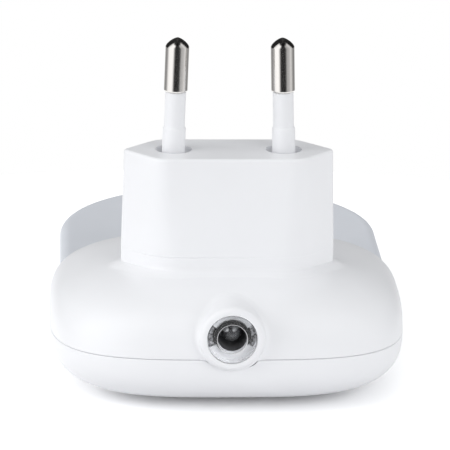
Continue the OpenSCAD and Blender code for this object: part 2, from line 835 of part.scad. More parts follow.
rear_housing();
front_cover();
diffuser();
plug_block();
retainer_plate();
retainer_screws();
pin_left();
pin_right();
sleeve_left();
sleeve_right();
pin_tags();
live_wire();
neutral_wire();
driver_board();
board_screws();
film_capacitor();
smoothing_capacitor();
bridge_rectifier();
fusible_resistor();
bleed_resistor();
zener_diode();
varistor();
transistor();
sensor_window();
sensor_shroud();
light_sensor();
led_board();
led_chips();
reflector();
led_wires();
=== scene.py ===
"""Looks of the plug in night light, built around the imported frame.

Lengths in this file are millimetres until mesh_object() writes them in metres. The origin and
the axes are the frame's: +Z along the contact pins, +Y from the sensor to the diffuser.
"""

import math

import bmesh
import bpy
import numpy as np
from mathutils import Matrix, Vector


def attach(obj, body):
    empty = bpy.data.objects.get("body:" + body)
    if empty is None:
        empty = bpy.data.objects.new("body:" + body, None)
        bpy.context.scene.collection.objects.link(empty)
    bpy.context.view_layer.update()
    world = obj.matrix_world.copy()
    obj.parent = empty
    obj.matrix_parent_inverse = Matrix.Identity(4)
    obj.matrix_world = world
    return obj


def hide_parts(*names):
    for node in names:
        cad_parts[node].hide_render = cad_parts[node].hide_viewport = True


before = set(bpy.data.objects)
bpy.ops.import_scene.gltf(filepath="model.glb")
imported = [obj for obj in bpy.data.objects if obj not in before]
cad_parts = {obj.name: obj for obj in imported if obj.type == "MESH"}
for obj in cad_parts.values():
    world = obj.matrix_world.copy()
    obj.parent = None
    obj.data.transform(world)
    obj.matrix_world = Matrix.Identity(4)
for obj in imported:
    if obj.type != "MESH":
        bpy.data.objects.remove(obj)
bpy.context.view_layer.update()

MM = 0.001
KEEP = 0.06  # narrow strips beside rounded edges, which keep the flats beside them flat
SLIP = 0.1  # clearance between pieces, and half of it around what is turned
PAST = 1.0  # how far a cutter reaches past what it cuts
LEAST_R = 0.3  # smallest radius that an inset leaves a rounded corner

# Shells, with the same values as the CAD
SHELL_W = 60.4
NEAR_LEN = 27.8
FAR_LEN = 20.5
WIDEST_Y = 7.2
PARTING_Z = 10.4
REAR_RISE = 11.4
WALL = 1.8
PLAN_POWER = 3.6
TOP_POWER = 2.5
FACE_POWER = 3.6
REAR_POWER = 3.2
FRONT_POWER = 2.95
REAR_FLAT = 0.16
FRONT_FLAT = 0.42
RIM_R = 0.18
PART_GAP = 0.07

# Plug
PLUG_W = 35.3
PLUG_T = 13.7
PLUG_FLAT = 24.0
PLUG_EDGE_R = 1.2
PLUG_SIDE_R = 4.0
COLLAR_SIDE_R = 8.0
SEAM_GROOVE = 0.13
SEAM_FROM, SEAM_TO, SEAM_FADE = -16.5, 8.5, 3.0  # x where the groove has faded, and over how much
SEAM_LEAST = 0.12
PLUG_DRAFT = 0.4
REAR_TOP_Z = PARTING_Z + REAR_RISE
SEAM_Z = REAR_TOP_Z + 2.2
FACE_Z = SEAM_Z + 17.0
NECK_END_Z = REAR_TOP_Z - 3.1
COLLAR_WALL = 1.7
MOUND_LIFT = 0.6
MOUND_W = 2.4
MOUND_SINK = 0.8
FOOT_R = 0.9
FOOT_END_R = 0.12
FOOT_FROM, FOOT_TO = 9.0, 17.0  # distance from the middle between which the fillet narrows

# Pins
PIN_PITCH = 18.6
PIN_R = 2.0
PIN_LEN = 19.3
PIN_TIP_H = 1.6
PIN_TIP_POWER = 1.4
SLEEVE_LEN = 10.0
SLEEVE_R = 1.75
SLEEVE_FOOT_R = 1.95
SLEEVE_FOOT_LEN = 3.6
CORE_R = 1.3
TIP_PITCH = 17.5
PIN_LEAN = math.asin((PIN_PITCH - TIP_PITCH) / (2 * PIN_LEN))
RECESS_R = 3.05
RECESS_DEPTH = 1.8
SLEEVE_SEAT = 8.0
PIN_TAIL = 26.4
# How far the wall of a pin is inset, and at what height over the sleeve
PIN_SHOULDER = [(0.3, 0.0), (0.12, 0.1), (0.04, 0.2), (0.0, 0.36), (0.0, 0.4)]

# Sensor
SENSOR_Z = 14.4
TUBE_R = 5.45
TUBE_EDGE_R = 0.9
TUBE_FOOT = 1.2
TUBE_IN = 10.0
SKIRT_W = 0.5
TUBE_Y = WIDEST_Y - NEAR_LEN - 1.6
WINDOW_Y = TUBE_Y + 0.2
WINDOW_R = 4.1
WINDOW_T = 2.6
SHROUD_R = 2.9
SHROUD_IN_R = 2.45
WINDOW_BORE_R = 2.45
SHROUD_Y = WINDOW_Y + 2.0
SHROUD_LEN = 6.6
SHROUD_FLOOR = 1.2
NOTCH_GAP = 0.015
NOTCH_WIDER = [(-51, 10, 0.15), (-135, 5, 0.05)]  # middle and half width in degrees, and how much
DOME_R = 1.45
DOME_H = 5.0
DOME_SEAT_Y = SHROUD_Y + SHROUD_LEN - SHROUD_FLOOR
LEAD_HEADS = [(-0.36, 0.2, -3.0), (0.26, 0.18, -2.95)]  # x, radius, and end in the dome
LEAD_BARS = [(-1.1, -0.3), (0.25, 1.1)]  # from x to x
LEAD_X = 0.9
LEAD_R = 0.24
EAR_R = 3.85
EAR_HALF = 27.0
EAR_T = 0.3
SEAT_Y = WINDOW_Y + WINDOW_T + 0.04  # floor of the window's seat
EAR_Y = WINDOW_Y + WINDOW_T + 0.06

# Diffuser
HOOD_R = 28.4
HOOD_REAR_Z = 16.7
HOOD_FRONT_Z = 3.5
HOOD_CENTRE_Y = 65.5 - HOOD_R
HOOD_WALL = 1.5
HOOD_EDGE_R = 1.8
HOOD_MOUTH_Y = 18.2
POST_R = 2.4
POST_X = 15.5
POST_Y = HOOD_MOUTH_Y + 3.2


# ---- meshes ---------------------------------------------------------------

def mesh_object(name, verts, faces):
    """A mesh object from points in millimetres."""
    mesh = bpy.data.meshes.new(name)
    mesh.from_pydata([[c * MM for c in v] for v in verts], [], faces)
    mesh.update()
    obj = bpy.data.objects.new(name, mesh)
    bpy.context.scene.collection.objects.link(obj)
    bm = bmesh.new()
    bm.from_mesh(mesh)
    bmesh.ops.recalc_face_normals(bm, faces=bm.faces)
    bm.to_mesh(mesh)
    bm.free()
    return obj


def loft(name, rings, closed=False):
    """Solid through rings of equal size; closed joins the last ring to the first."""
    n = len(rings[0])
    verts = [p for ring in rings for p in ring]
    faces = []
    steps = len(rings) if closed else len(rings) - 1
    for k in range(steps):
        a, b = k * n, ((k + 1) % len(rings)) * n
        for i in range(n):
            j = (i + 1) % n
            faces.append((a + i, a + j, b + j, b + i))
    if not closed:
        faces.append(tuple(range(n))[::-1])
        faces.append(tuple(range((len(rings) - 1) * n, len(rings) * n)))
    return mesh_object(name, verts, faces)


def lathe(name, profile, place, steps=96):
    """Solid of revolution. profile is [(radius, height)], place maps (x, y, height) to the frame."""
    verts, faces, rows = [], [], []
    for r, h in profile:
        if r < 1e-6:
            rows.append([len(verts)])
            verts.append(place(0.0, 0.0, h))
        else:
            rows.append(list(range(len(verts), len(verts) + steps)))
            for i in range(steps):
                a = 2 * math.pi * i / steps
                verts.append(place(r * math.cos(a), r * math.sin(a), h))
    pairs = list(zip(rows, rows[1:]))
    if len(rows[0]) > 1 and len(rows[-1]) > 1:
        pairs.append((rows[-1], rows[0]))
    for low, high in pairs:
        for i in range(steps):
            j = (i + 1) % steps
            if len(low) == 1 and len(high) == 1:
                continue
            if len(low) == 1:
                faces.append((low[0], high[j], high[i]))
            elif len(high) == 1:
                faces.append((low[i], low[j], high[0]))
            else:
                faces.append((low[i], low[j], high[j], high[i]))
    return mesh_object(name, verts, faces)


def smooth(t):
    """Share from 0 to 1 that starts and ends level."""
    return t * t * (3 - 2 * t)


def arc(cx, cy, r, start, end, steps):
    """Points of an arc in a profile, angles in degrees."""
    return [
        (cx + r * math.cos(math.radians(start + (end - start) * k / steps)),
         cy + r * math.sin(math.radians(start + (end - start) * k / steps)))
        for k in range(steps + 1)
    ]


def boolean(obj, other, operation):
    """Applies a boolean with another solid, which is then removed."""
    mod = obj.modifiers.new("cut", "BOOLEAN")
    mod.operation = operation
    mod.solver = "MANIFOLD"
    mod.object = other
    bpy.context.view_layer.update()
    depsgraph = bpy.context.evaluated_depsgraph_get()
    made = bpy.data.meshes.new_from_object(obj.evaluated_get(depsgraph))
    obj.modifiers.clear()
    old = obj.data
    obj.data = made
    bpy.data.meshes.remove(old)
    bpy.data.objects.remove(other)
    return obj


def shade(obj, angle=35):
    """Smooth faces, with edges sharper than the angle kept."""
    mesh = obj.data
    bm = bmesh.new()
    bm.from_mesh(mesh)
    bmesh.ops.remove_doubles(bm, verts=bm.verts, dist=2e-6)
    bmesh.ops.dissolve_degenerate(bm, edges=bm.edges, dist=1e-6)
    limit = math.radians(angle)
    for f in bm.faces:
        f.smooth = True
    for e in bm.edges:
        e.smooth = not (len(e.link_faces) == 2 and e.calc_face_angle(0.0) > limit)
    bm.to_mesh(mesh)
    bm.free()
    return obj


# ---- outlines -------------------------------------------------------------

def shell_ring(inset, s, n, z, count=288):
    """Outline of a shell at height z, s times its full size. n is its squareness."""
    ring = []
    for i in range(count):
        a = 2 * math.pi * i / count
        c, d = math.cos(a), math.sin(a)
        r = s * (abs(c) ** n + abs(d) ** n) ** (-1 / n)
        length = (FAR_LEN if d > 0 else NEAR_LEN) - inset
        ring.append(((SHELL_W / 2 - inset) * r * c, WIDEST_Y + length * r * d, z))
    return ring


def top_share(p, flat):
    """Share of a side's full curve, in height, at which it meets the flat."""
    return math.sin(math.acos(flat ** (p / 2))) ** (2 / p)


def side_profile(rise, p, flat, count, fine=4000):
    """(share of outline, share of rise) along a shell's side, evenly spaced."""
    reach = 28.0  # about half the shell's width, for the spacing alone
    end = math.acos(flat ** (p / 2))
    dense = []
    for k in range(fine + 1):
        a = end * (k / fine) ** 2
        dense.append((math.cos(a) ** (2 / p), math.sin(a) ** (2 / p)))
    pts = np.array(dense)
    step = np.hypot(np.diff(pts[:, 0]) * reach, np.diff(pts[:, 1]) * rise)
    length = np.concatenate([[0], np.cumsum(step)])
    at = np.linspace(0, length[-1], count)
    s = np.interp(at, length, pts[:, 0])
    t = np.interp(at, length, pts[:, 1])
    return list(zip(s, t))


def side_rings(inset, rise, p, flat, end_power, sign, count, rim):
    """Rings of one surface from the parting plane to the flat."""
    top = top_share(p, flat)
    base = PARTING_Z if sign > 0 else rise
    rings = []
    if rim:
        for k in range(4):
            a = math.pi / 2 * k / 4
            z = base + sign * RIM_R * (1 - math.cos(a))
            rings.append(shell_ring(inset + RIM_R * (1 - math.sin(a)), 1.0, PLAN_POWER, z))
    for s, t in side_profile(rise - inset, p, flat, count):
        rise_here = (rise - inset) * t / top
        if rim and rise_here < RIM_R:
            continue
        n = PLAN_POWER + (end_power - PLAN_POWER) * t
        rings.append(shell_ring(inset, s, n, base + sign * rise_here))
    return rings


def cup(name, rise, p, flat, end_power, sign):
    """Half shell that opens at the parting plane. sign is 1 upwards and -1 downwards."""
    inner = side_rings(WALL, rise, p, flat, end_power, sign, count=20, rim=False)
    outer = side_rings(0.0, rise, p, flat, end_power, sign, count=64, rim=True)
    return loft(name, inner[::-1] + outer)


def front_y(x, z):
    """Y of the outer surface at the sensor end, at x and height z."""
    rear = (REAR_RISE, REAR_POWER, REAR_FLAT, TOP_POWER)
    rise, p, flat, end_power = rear if z > PARTING_Z else (PARTING_Z, FRONT_POWER, FRONT_FLAT, FACE_POWER)
    top = top_share(p, flat)
    t = min(1.0, abs(z - PARTING_Z) / rise * top)
    s = (1 - t ** p) ** (1 / p)
    n = PLAN_POWER + (end_power - PLAN_POWER) * t
    u = abs(x) / (SHELL_W / 2)
    v = max(0.0, s ** n - u ** n) ** (1 / n)
    return WIDEST_Y - NEAR_LEN * v


def rear_z(x, y):
    """Height of the rear shell's outer surface at x, y."""
    top = top_share(REAR_POWER, REAR_FLAT)
    u = abs(x) / (SHELL_W / 2)
    v = abs(y - WIDEST_Y) / (FAR_LEN if y > WIDEST_Y else NEAR_LEN)
    low, high = 0.0, top
    for _ in range(40):
        t = (low + high) / 2
        n = PLAN_POWER + (TOP_POWER - PLAN_POWER) * t
        if (u ** n + v ** n) ** (1 / n) < (1 - t ** REAR_POWER) ** (1 / REAR_POWER):
            low = t
        else:
            high = t
    return PARTING_Z + REAR_RISE * low / top


def grown(pts, d):
    """Outline with straight sides, moved outwards by d."""
    out = []
    for i, p in enumerate(pts):
        before, after = pts[i - 1], pts[(i + 1) % len(pts)]
        n1, n2 = edge_normal(before, p), edge_normal(p, after)
        k = d / (1 + n1[0] * n2[0] + n1[1] * n2[1])
        out.append((p[0] + k * (n1[0] + n2[0]), p[1] + k * (n1[1] + n2[1])))
    return out


def edge_normal(a, b):
    dx, dy = b[1] - a[1], a[0] - b[0]
    size = math.hypot(dx, dy)
    return dx / size, dy / size


def rounded(pts, radii, steps):
    """Outline with rounded corners, and a point just beside each rounding."""
    out = []
    for i, (p, r) in enumerate(zip(pts, radii)):
        before, after = pts[i - 1], pts[(i + 1) % len(pts)]
        n1, n2 = edge_normal(before, p), edge_normal(p, after)
        dot = n1[0] * n2[0] + n1[1] * n2[1]
        k = r / (1 + dot)
        cx, cy = p[0] - k * (n1[0] + n2[0]), p[1] - k * (n1[1] + n2[1])
        first, turn = math.atan2(n1[1], n1[0]), math.acos(min(1.0, dot))
        curve = [(cx + r * math.cos(first + turn * k / steps), cy + r * math.sin(first + turn * k / steps))
                 for k in range(steps + 1)]
        (x0, y0), (x1, y1) = curve[0], curve[-1]
        out += [(x0 + KEEP * n1[1], y0 - KEEP * n1[0])] + curve + [(x1 - KEEP * n2[1], y1 + KEEP * n2[0])]
    return out


def end_reach(guess):
    """Reach of the sharp end corner that leaves the plug its length once it is rounded."""
    half = math.atan(PLUG_T / 2 / (guess - PLUG_FLAT / 2))
    return PLUG_W / 2 + PLUG_EDGE_R * (1 / math.sin(half) - 1)


def plug_outline(d, side_r=COLLAR_SIDE_R):
    """The plug's six sided outline at its seam, grown by d."""
    w, t, f = end_reach(end_reach(PLUG_W / 2)), PLUG_T / 2, PLUG_FLAT / 2
    six = [(w, 0), (f, t), (-f, t), (-w, 0), (-f, -t), (f, -t)]
    radii = [max(LEAST_R, (side_r if i % 3 else PLUG_EDGE_R) + d) for i in range(6)]
    return rounded(grown(six, d), radii, steps=10)


def face_outline(d):
    """The same at the plug's face, where the edges are sharper."""
    return plug_outline(d, PLUG_SIDE_R)


def seam_edge(way):
    """Two rings of the edge at the seam, above it or below it. The groove fades towards both ends."""
    rings = [[], []]
    for (x, y), (u, v) in zip(plug_outline(PLUG_DRAFT), plug_outline(PLUG_DRAFT - SEAM_GROOVE)):
        share = max(SEAM_LEAST, min(1.0, (SEAM_TO - x) / SEAM_FADE, (x - SEAM_FROM) / SEAM_FADE))
        rings[0].append((x + (u - x) * share, y + (v - y) * share, SEAM_Z))
        rings[1].append((x, y, SEAM_Z + way * SEAM_GROOVE * share))
    return rings


def at_height(pts, z):
    return [(p[0], p[1], z) for p in pts]


def pin_place(side):
    """Frame of one pin: height 0 is the plug's face."""
    s, c = math.sin(PIN_LEAN), math.cos(PIN_LEAN)

    def place(x, y, h):
        return (side * PIN_PITCH / 2 + c * x - side * s * h, y, FACE_Z + side * s * x + c * h)
    return place


def sensor_place(y0):
    """Frame of the sensor: heights run inwards, along +Y."""
    def place(x, y, h):
        return (x, y0 + h, SENSOR_Z + y)
    return place


def flat_place(x, y, z):
    return (x, y, z)


# ---- casing ---------------------------------------------------------------

def hood_section(inset, steps=8):
    """Half of a section of the diffuser, from the front face round the edge to the rear face."""
    border = 0.2  # flat strip beside the rounding
    r = max(LEAST_R, HOOD_EDGE_R - inset)
    x, z1, z2 = HOOD_R - inset, HOOD_FRONT_Z + inset, HOOD_REAR_Z - inset
    low = arc(x - r, z1 + r, r, -90, 0, steps)
    high = arc(x - r, z2 - r, r, 0, 90, steps)
    side = [(x, z1 + r + KEEP), (x, z2 - r - KEEP)]
    return [(x - r - border, z1)] + low + side + high + [(x - r - border, z2)]


def hood_rings(inset, from_y, turns=96, straight=12):
    """Sections of the diffuser's outline, from one open end round to the other."""
    sec = hood_section(inset)
    rings = []
    for k in range(straight):
        y = from_y + (HOOD_CENTRE_Y - from_y) * k / straight
        rings.append([(x, y, z) for x, z in sec])
    for k in range(turns + 1):
        a = math.pi * k / turns
        rings.append([(x * math.cos(a), HOOD_CENTRE_Y + x * math.sin(a), z) for x, z in sec])
    for k in range(straight):
        y = HOOD_CENTRE_Y - (HOOD_CENTRE_Y - from_y) * (k + 1) / straight
        rings.append([(-x, y, z) for x, z in sec])
    return rings


def hood_solid(name, inset, from_y):
    """Closed solid with the diffuser's outline. Its flats are fans of strips from side to side."""
    rings = hood_rings(inset, from_y)
    m = len(rings[0])
    verts = [p for ring in rings for p in ring]
    faces = []
    for k in range(len(rings) - 1):
        for i in range(m - 1):
            a, b = k * m + i, (k + 1) * m + i
            faces.append((a, b, b + 1, a + 1))
    count = len(rings)
    for side in (0, m - 1):
        for k in range(count // 2):
            a, b = k * m + side, (k + 1) * m + side
            c, d = (count - 2 - k) * m + side, (count - 1 - k) * m + side
            if k + 1 == count - 2 - k:
                faces.append((a, b, d))
            elif k + 1 < count - 2 - k:
                faces.append((a, b, c, d))
    faces.append(tuple(range(m)) + tuple((count - 1) * m + i for i in range(m - 1, -1, -1)))
    return mesh_object(name, verts, faces)


def tube_solid(name):
    """Sensor tube with a rounded rim."""
    edge = TUBE_EDGE_R
    profile = [(0.0, 0.0), (TUBE_R - edge - KEEP, 0.0)] + arc(TUBE_R - edge, edge, edge, -90, 0, 8)
    profile += [(TUBE_R, edge + KEEP), (TUBE_R, TUBE_IN), (0.0, TUBE_IN)]
    return lathe(name, profile, sensor_place(TUBE_Y), 160)


def tube_fillet(name, size, steps=8, count=160):
    """Ring that fills the corner between the tube and the shell, and reaches into both."""
    sink, root = 0.5, TUBE_R - 0.6
    rings = []
    for i in range(count):
        a = 2 * math.pi * i / count
        c, s = math.cos(a), math.sin(a)
        z = SENSOR_Z + TUBE_R * s
        hit = front_y(TUBE_R * c, z)
        far_r = TUBE_R + size
        far_z = SENSOR_Z + far_r * s
        far = front_y(far_r * c, far_z)
        p0, p1, p2 = (TUBE_R, hit - size), (TUBE_R, hit), (far_r, far)
        ring = []
        for k in range(steps + 1):
            t = k / steps
            r = (1 - t) ** 2 * p0[0] + 2 * t * (1 - t) * p1[0] + t * t * p2[0]
            y = (1 - t) ** 2 * p0[1] + 2 * t * (1 - t) * p1[1] + t * t * p2[1]
            ring.append((r * c, y, SENSOR_Z + r * s))
        ring.append((far_r * c, far + sink, far_z))
        ring += [(root * c, y, SENSOR_Z + root * s) for y in (hit + sink, hit - size)]
        rings.append(ring)
    return loft(name, rings, closed=True)


def collar_foot(name, steps=8):
    """Low mound of the shell around the collar, with a fillet that is narrow at the collar's ends."""
    touch = 0.004  # overlap with the collar and the shell, so that the solids join
    root, sink = 0.6, 1.2  # how far it reaches into the collar, and into the shell there
    inside, side = plug_outline(PLUG_DRAFT - root), plug_outline(PLUG_DRAFT - touch)
    wide = plug_outline(PLUG_DRAFT + MOUND_W)
    rings = []
    for (ax, ay), (bx, by), (cx, cy) in zip(inside, side, wide):
        def at(s, drop=0.0):
            t = s / MOUND_W
            x, y = bx + (cx - bx) * t, by + (cy - by) * t
            return x, y, rear_z(x, y) + MOUND_LIFT * (1 - smooth(t)) - drop

        share = min(1.0, max(0.0, (abs(bx) - FOOT_FROM) / (FOOT_TO - FOOT_FROM)))
        size = FOOT_R - (FOOT_R - FOOT_END_R) * smooth(share)
        hit, far = at(0.0)[2], at(size)[2]
        ring = []
        for k in range(steps + 1):
            t = k / steps
            x, y, _ = at(t * t * size)
            ring.append((x, y, (1 - t) ** 2 * (hit + size) + 2 * t * (1 - t) * hit + t * t * far))
        ring += [at(size + (MOUND_W - size) * k / 8) for k in range(1, 8)]
        ring += [at(MOUND_W, touch), at(MOUND_W, MOUND_SINK)]
        ring += [(ax, ay, hit - sink), (ax, ay, hit + size)]
        rings.append(ring)
    return loft(name, rings, closed=True)


def slab(name, low, high):
    (x0, y0, z0), (x1, y1, z1) = low, high
    base = [(x0, y0), (x1, y0), (x1, y1), (x0, y1)]
    return loft(name, [at_height(base, z0), at_height(base, z1)])


def rod_profile(radius, low, high):
    """Profile of a plain round rod, for a cutter."""
    return [(0, low), (radius, low), (radius, high), (0, high)]


def make_rear_housing():
    obj = cup("rear_shell", REAR_RISE, REAR_POWER, REAR_FLAT, TOP_POWER, 1)
    collar = [at_height(plug_outline(PLUG_DRAFT), z) for z in (NECK_END_Z, SEAM_Z - SEAM_GROOVE - KEEP)]
    boolean(obj, loft("collar", collar + seam_edge(-1)[::-1]), "UNION")
    boolean(obj, collar_foot("collar_foot"), "UNION")
    boolean(obj, tube_solid("tube"), "UNION")
    foot = tube_fillet("tube_foot", TUBE_FOOT)
    reach = 20.0  # more than the foot's, to each side
    boolean(foot, slab("below", (-reach, -2 * reach, 0), (reach, 0, PARTING_Z)), "DIFFERENCE")
    boolean(obj, foot, "UNION")
    boolean(obj, tube_fillet("tube_skirt", SKIRT_W), "UNION")
    inside = plug_outline(PLUG_DRAFT - COLLAR_WALL)
    hole = [at_height(inside, z) for z in (NECK_END_Z - PAST, SEAM_Z + PAST)]
    boolean(obj, loft("neck_hole", hole), "DIFFERENCE")
    seat = rod_profile(WINDOW_R + SLIP, -PAST, SEAT_Y - TUBE_Y)
    boolean(obj, lathe("window_seat", seat, sensor_place(TUBE_Y), 160), "DIFFERENCE")
    bore = rod_profile(SHROUD_R + SLIP / 2, 0, TUBE_IN + 2 * PAST)
    boolean(obj, lathe("shroud_bore", bore, sensor_place(TUBE_Y)), "DIFFERENCE")
    for side in (-1, 1):
        pocket = sensor_ear("ear_pocket", side, SLIP, EAR_Y - PAST / 2, EAR_Y + EAR_T + SLIP)
        boolean(obj, pocket, "DIFFERENCE")
    boolean(obj, hood_solid("passage", -SLIP, HOOD_MOUTH_Y - SLIP), "DIFFERENCE")
    return shade(obj, 30)


def tube_notch(name, count=240):
    """Cutter for the cover's notch under the tube. Its gap opens at two places below the parting line."""
    ring = []
    for k in range(count):
        a = -180 + 360 * k / count
        gap = NOTCH_GAP
        for middle, half, more in NOTCH_WIDER:
            gap += more * max(0.0, 1 - ((a - middle) / half) ** 2)
        r = TUBE_R + SKIRT_W + gap
        ring.append((r * math.cos(math.radians(a)), r * math.sin(math.radians(a))))
    ends = (TUBE_Y - PAST, TUBE_Y + TUBE_IN + PAST)
    return loft(name, [[(x, y, SENSOR_Z + z) for x, z in ring] for y in ends])


def make_front_cover():
    obj = cup("front_shell", PARTING_Z - PART_GAP, FRONT_POWER, FRONT_FLAT, FACE_POWER, -1)
    boolean(obj, tube_notch("tube_notch"), "DIFFERENCE")
    boolean(obj, hood_solid("passage", -SLIP, HOOD_MOUTH_Y - SLIP), "DIFFERENCE")
    return shade(obj, 30)


def make_diffuser():
    obj = hood_solid("diffuser_hood", 0.0, HOOD_MOUTH_Y)
    boolean(obj, hood_solid("hollow", HOOD_WALL, HOOD_MOUTH_Y - PAST), "DIFFERENCE")
    hole = rod_profile(POST_R, HOOD_FRONT_Z - PAST, HOOD_FRONT_Z + HOOD_WALL + PAST)
    for side in (-1, 1):
        def place(x, y, h, side=side):
            return side * POST_X + x, POST_Y + y, h
        boolean(obj, lathe("post_hole", hole, place), "DIFFERENCE")
    return shade(obj, 30)


# ---- plug -----------------------------------------------------------------

def make_plug_block():
    edge = 0.5  # radius round the face
    lip = 0.06  # chamfer of the recesses
    through = 30.0  # more than the block's length
    neck = plug_outline(PLUG_DRAFT - COLLAR_WALL - SLIP)
    block = seam_edge(1)
    block.append(at_height(plug_outline(PLUG_DRAFT), SEAM_Z + SEAM_GROOVE + KEEP))
    block.append(at_height(face_outline(0), FACE_Z - edge - KEEP))
    for k in range(7):
        a = math.pi / 2 * k / 6
        block.append(at_height(face_outline(-edge * (1 - math.cos(a))), FACE_Z - edge * (1 - math.sin(a))))
    block.append(at_height(face_outline(-edge - KEEP), FACE_Z))
    obj = loft("plug_body", block)
    ends = (NECK_END_Z + SLIP, SEAM_Z + PAST)
    boolean(obj, loft("neck", [at_height(neck, z) for z in ends]), "UNION")
    recess = [(0, -RECESS_DEPTH), (RECESS_R, -RECESS_DEPTH), (RECESS_R, -lip), (RECESS_R + lip, 0.0),
              (RECESS_R + lip, PAST), (0, PAST)]
    bore = rod_profile(SLEEVE_FOOT_R + SLIP / 2, -SLEEVE_SEAT, PAST)
    core = rod_profile(CORE_R + SLIP / 2, -through, PAST)
    for side in (-1, 1):
        for name, profile in (("recess", recess), ("bore", bore), ("core", core)):
            boolean(obj, lathe(name, profile, pin_place(side)), "DIFFERENCE")
    return shade(obj, 30)


def make_pin(side):
    tip_z = PIN_LEN - PIN_TIP_H
    strip = 0.05  # of straight wall, just below the rounded tip
    profile = [(0, -PIN_TAIL), (CORE_R, -PIN_TAIL), (CORE_R, SLEEVE_LEN)]
    profile += [(PIN_R - inset, SLEEVE_LEN + height) for inset, height in PIN_SHOULDER]
    profile += [(PIN_R, tip_z - strip), (PIN_R, tip_z)]
    e = 2 / PIN_TIP_POWER
    profile += [(PIN_R * math.cos(a) ** e, tip_z + PIN_TIP_H * math.sin(a) ** e)
                for a in (math.pi / 2 * k / 24 for k in range(1, 24))]
    profile.append((0, PIN_LEN))
    name = "contact_left" if side < 0 else "contact_right"
    return shade(lathe(name, profile, pin_place(side), 96), 40)


def make_sleeve(side):
    bore = CORE_R + SLIP / 2
    narrowing, edge = 0.5, 0.1
    profile = [(bore, -SLEEVE_SEAT), (SLEEVE_FOOT_R, -SLEEVE_SEAT), (SLEEVE_FOOT_R, SLEEVE_FOOT_LEN)]
    profile += [(SLEEVE_FOOT_R + (SLEEVE_R - SLEEVE_FOOT_R) * (0.5 - 0.5 * math.cos(math.pi * k / 6)),
                 SLEEVE_FOOT_LEN + narrowing * k / 6) for k in range(1, 7)]
    profile += [(SLEEVE_R, SLEEVE_FOOT_LEN + 1.3 * narrowing), (SLEEVE_R, SLEEVE_LEN - edge),
                (SLEEVE_R - edge, SLEEVE_LEN), (bore, SLEEVE_LEN)]
    name = "sleeve_skin_left" if side < 0 else "sleeve_skin_right"
    return shade(lathe(name, profile, pin_place(side), 72), 40)


# ---- sensor ---------------------------------------------------------------

def sensor_ear(name, side, margin, y0, y1, steps=12):
    """Ear of the black tube behind the window, or with a margin the pocket for it. side is -1 or 1."""
    half = EAR_HALF + math.degrees(margin / EAR_R)
    root = SHROUD_R - 0.15  # inside the wall of the tube
    plan = arc(0, 0, EAR_R + margin, -half, half, steps) + arc(0, 0, root, half, -half, steps)
    return loft(name, [[(side * x, y, SENSOR_Z + z) for x, z in plan] for y in (y0, y1)])


def make_window():
    """Clear ring with a bore to look through, and a wider seat for the black tube behind it."""
    mouth, rim, seat, back_r = 0.12, 0.25, SHROUD_Y - WINDOW_Y - 0.03, SHROUD_R + SLIP / 2
    profile = arc(WINDOW_BORE_R + mouth, mouth, mouth, 180, 270, 6)
    profile += arc(WINDOW_R - rim, rim, rim, -90, 0, 6)
    profile += [(WINDOW_R, WINDOW_T), (back_r, WINDOW_T), (back_r, seat), (WINDOW_BORE_R, seat)]
    return shade(lathe("window_ring", profile, sensor_place(WINDOW_Y), 128), 35)


def make_shroud():
    inside, edge = SHROUD_LEN - SHROUD_FLOOR, 0.05
    profile = [(0, inside), (SHROUD_IN_R, inside)]
    profile += arc(SHROUD_IN_R + edge, edge, edge, 180, 270, 4)
    profile += arc(SHROUD_R - edge, edge, edge, 270, 360, 4)
    profile += [(SHROUD_R, SHROUD_LEN), (0, SHROUD_LEN)]
    obj = lathe("shroud_tube", profile, sensor_place(SHROUD_Y), 96)
    for side in (-1, 1):
        boolean(obj, sensor_ear("ear", side, 0.0, EAR_Y, EAR_Y + EAR_T), "UNION")
    return shade(obj, 35)


def make_sensor():
    brim_r, brim_t = DOME_R + 0.15, 1.0
    profile = [(0, -DOME_H)]
    profile += [(DOME_R * math.sin(a), -DOME_H + DOME_R * (1 - math.cos(a)))
                for a in (math.pi / 2 * k / 16 for k in range(1, 17))]
    profile += [(DOME_R, -brim_t), (brim_r, -brim_t), (brim_r, 0.0), (0, 0.0)]
    return shade(lathe("sensor_dome", profile, sensor_place(DOME_SEAT_Y), 64), 35)


def make_leads():
    """The two leads: their heads stand in the resin, and the legs run back through the tube's floor."""
    place = sensor_place(DOME_SEAT_Y)
    head_end, leg_from, leg_to = -1.3, -1.5, 1.8
    bar_from, bar_to, bar_half = -1.6, -1.2, 0.2

    def rod(name, x, radius, low, high):
        """Round rod with domed ends."""
        profile = [(0, low)] + arc(0, low + radius, radius, -80, 0, 6)
        profile += arc(0, high - radius, radius, 0, 80, 6) + [(0, high)]
        return lathe(name, profile, lambda u, v, h: place(x + u, v, h), 24)

    def bar(x0, x1):
        plan = [(x0, -bar_half), (x1, -bar_half), (x1, bar_half), (x0, bar_half)]
        return loft("bar", [[place(x, z, h) for x, z in plan] for h in (bar_from, bar_to)])

    left, right = LEAD_HEADS
    obj = rod("sensor_leads", *left, head_end)
    boolean(obj, rod("lead", *right, head_end), "UNION")
    for ends in LEAD_BARS:
        boolean(obj, bar(*ends), "UNION")
    for side in (-1, 1):
        boolean(obj, rod("leg", side * LEAD_X, LEAD_R, leg_from, leg_to), "UNION")
    return shade(obj, 30)


# ---- materials ------------------------------------------------------------

